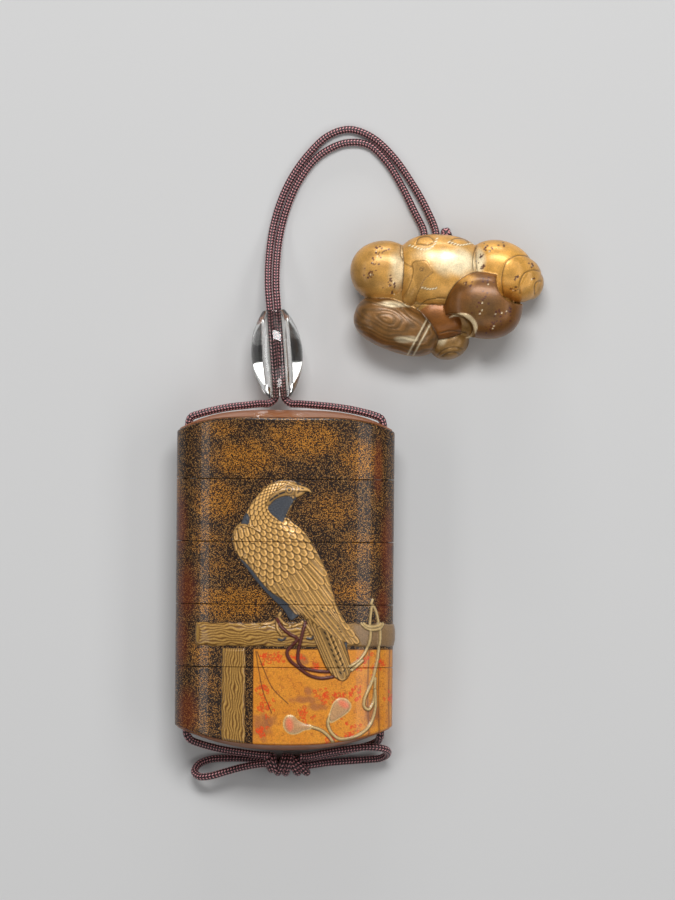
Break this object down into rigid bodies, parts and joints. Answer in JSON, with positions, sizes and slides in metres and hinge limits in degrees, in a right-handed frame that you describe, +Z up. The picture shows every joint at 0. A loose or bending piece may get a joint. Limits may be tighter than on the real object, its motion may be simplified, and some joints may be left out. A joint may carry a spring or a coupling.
{
  "type": "inro case",
  "caption": "Lacquered inro of nested boxes and a lid on a silk cord, with a raised hawk on a perch, a rock crystal bead and a netsuke of seashells.",
  "frame": {"origin": "middle of the narrow flat on the case's back, on the surface that the case lies on", "axes": "+X across the case, +Y along it towards the lid, +Z up, out of the decorated front"},
  "size_m": [0.094, 0.1693, 0.0238],
  "materials": {
    "sprinkled_lacquer": "glossy brown lacquer with sprinkled and raised gold",
    "gold_lacquer": "satin gold lacquer over carved wood",
    "rock_crystal": "polished clear crystal",
    "silk_cord": "braided silk"
  },
  "bodies": {
    "root": {"lid": "sprinkled_lacquer", "box_1": "sprinkled_lacquer", "box_2": "sprinkled_lacquer", "box_3": "sprinkled_lacquer", "base_box": "sprinkled_lacquer", "ojime_bead": "rock_crystal", "netsuke": "gold_lacquer", "cord_left": "silk_cord", "cord_right": "silk_cord", "bow_loop_left": "silk_cord", "bow_loop_right": "silk_cord", "bow_knot": "silk_cord", "end_knot": "silk_cord"}
  },
  "joints": []
}
